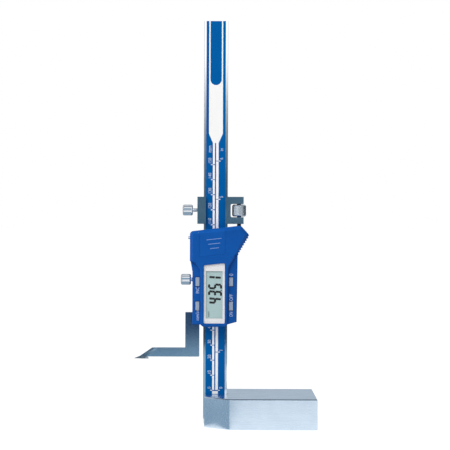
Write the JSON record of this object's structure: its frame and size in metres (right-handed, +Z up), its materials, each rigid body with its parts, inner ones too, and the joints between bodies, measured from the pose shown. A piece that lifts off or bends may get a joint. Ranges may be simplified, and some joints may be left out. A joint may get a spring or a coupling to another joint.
{
  "type": "height gauge",
  "caption": "Digital height gauge: a steel foot, an upright graduated beam, and a sliding carriage with a scriber, a display housing and a fine-adjustment clamp.",
  "frame": {"origin": "on the foot's underside, at the middle of the beam's width and thickness", "axes": "+X to the right along the foot as seen from the display side, +Y to the back, +Z up the beam"},
  "size_m": [0.1207, 0.045, 0.2683],
  "materials": {
    "ground_steel": "surface ground, light satin",
    "satin_steel": "satin ground along its length",
    "strip_laminate": "etched laminate",
    "printed_foil": "printed, semi-gloss",
    "black_steel": "black oxide",
    "frame_steel": "satin, grey",
    "carbide": "ground fine",
    "bright_steel": "bright, knurled",
    "gib_brass": "satin",
    "board_laminate": "solder mask",
    "chip_resin": "moulded resin",
    "switch_plastic": "moulded",
    "display_glass": "polarising film over glass",
    "reflector_film": "pearl film",
    "holder_plastic": "moulded",
    "contact_rubber": "layered conductive rubber",
    "window_plastic": "clear, with a pale printed border",
    "housing_plastic": "fine moulded grain, semi-matt",
    "key_plastic": "moulded, satin",
    "tray_plastic": "moulded",
    "cell_steel": "plated",
    "contact_brass": "plated spring strip"
  },
  "bodies": {
    "root": {"foot_block": "ground_steel", "beam": "satin_steel", "scale_strip": "strip_laminate", "scale_foil": "printed_foil", "beam_screws": "black_steel"},
    "carriage": {"slide_frame": "frame_steel", "scriber_tip": "carbide", "gib_screws": "bright_steel", "sensor_board": "board_laminate", "controller_chip": "chip_resin", "key_switches": "switch_plastic", "display_cell": "display_glass", "display_reflector": "reflector_film", "display_holder": "holder_plastic", "contact_rubbers": "contact_rubber", "window": "window_plastic", "housing": "housing_plastic", "housing_screws": "black_steel", "battery_tray": "tray_plastic", "coin_cell": "cell_steel", "contact_minus": "contact_brass", "contact_plus": "contact_brass", "adjusting_rod": "black_steel", "rod_nut": "black_steel"},
    "slide_gib": {"slide_gib": "gib_brass"},
    "lock_screw": {"lock_screw": "bright_steel"},
    "key_inc": {"key_inc": "key_plastic"},
    "key_units": {"key_units": "key_plastic"},
    "key_zero": {"key_zero": "key_plastic"},
    "key_power": {"key_power": "key_plastic"},
    "battery_cover": {"battery_cover": "housing_plastic"},
    "clamp": {"clamp_block": "frame_steel"},
    "clamp_gib": {"clamp_gib": "gib_brass"},
    "clamp_screw": {"clamp_screw": "bright_steel"},
    "fine_nut": {"fine_nut": "bright_steel"}
  },
  "joints": [
    {"name": "carriage_slide", "type": "slide", "parent": "root", "child": "carriage", "axis": [0, 0, 1], "range_m": [-0.04351, 0.10649]},
    {"name": "slide_gib_press", "type": "slide", "parent": "carriage", "child": "slide_gib", "axis": [1, 0, 0], "range_m": [0, 0.00008]},
    {"name": "lock_turn", "type": "hinge", "parent": "slide_gib", "child": "lock_screw", "pos_m": [-0.0197, 0, 0.09621], "axis": [1, 0, 0], "range_deg": [0, 57.66]},
    {"name": "clamp_slide", "type": "slide", "parent": "carriage", "child": "clamp", "axis": [0, 0, 1], "range_m": [-0.001, 0.008]},
    {"name": "nut_turn", "type": "hinge", "parent": "clamp", "child": "fine_nut", "pos_m": [0.0156, 0, 0.14213], "axis": [0, 0, 1], "range_deg": [-721, 5761]},
    {"name": "clamp_gib_press", "type": "slide", "parent": "clamp", "child": "clamp_gib", "axis": [1, 0, 0], "range_m": [0, 0.00008]},
    {"name": "clamp_turn", "type": "hinge", "parent": "clamp_gib", "child": "clamp_screw", "pos_m": [-0.0185, 0, 0.14239], "axis": [1, 0, 0], "range_deg": [0, 57.66]},
    {"name": "press_inc", "type": "slide", "parent": "carriage", "child": "key_inc", "axis": [0, 1, 0], "range_m": [0, 0.0004], "stiffness_N_per_m": 1500},
    {"name": "press_units", "type": "slide", "parent": "carriage", "child": "key_units", "axis": [0, 1, 0], "range_m": [0, 0.0004], "stiffness_N_per_m": 1500},
    {"name": "press_zero", "type": "slide", "parent": "carriage", "child": "key_zero", "axis": [0, 1, 0], "range_m": [0, 0.0004], "stiffness_N_per_m": 1500},
    {"name": "press_power", "type": "slide", "parent": "carriage", "child": "key_power", "axis": [0, 1, 0], "range_m": [0, 0.0004], "stiffness_N_per_m": 1500},
    {"name": "cover_slide", "type": "slide", "parent": "carriage", "child": "battery_cover", "axis": [0, 0, 1], "range_m": [0, 0.02]}
  ],
  "couplings": [
    {"joint": "nut_turn", "follows": "clamp_slide", "rad_per_m": 12566},
    {"joint": "lock_turn", "follows": "slide_gib_press", "rad_per_m": 12566},
    {"joint": "clamp_turn", "follows": "clamp_gib_press", "rad_per_m": 12566}
  ]
}
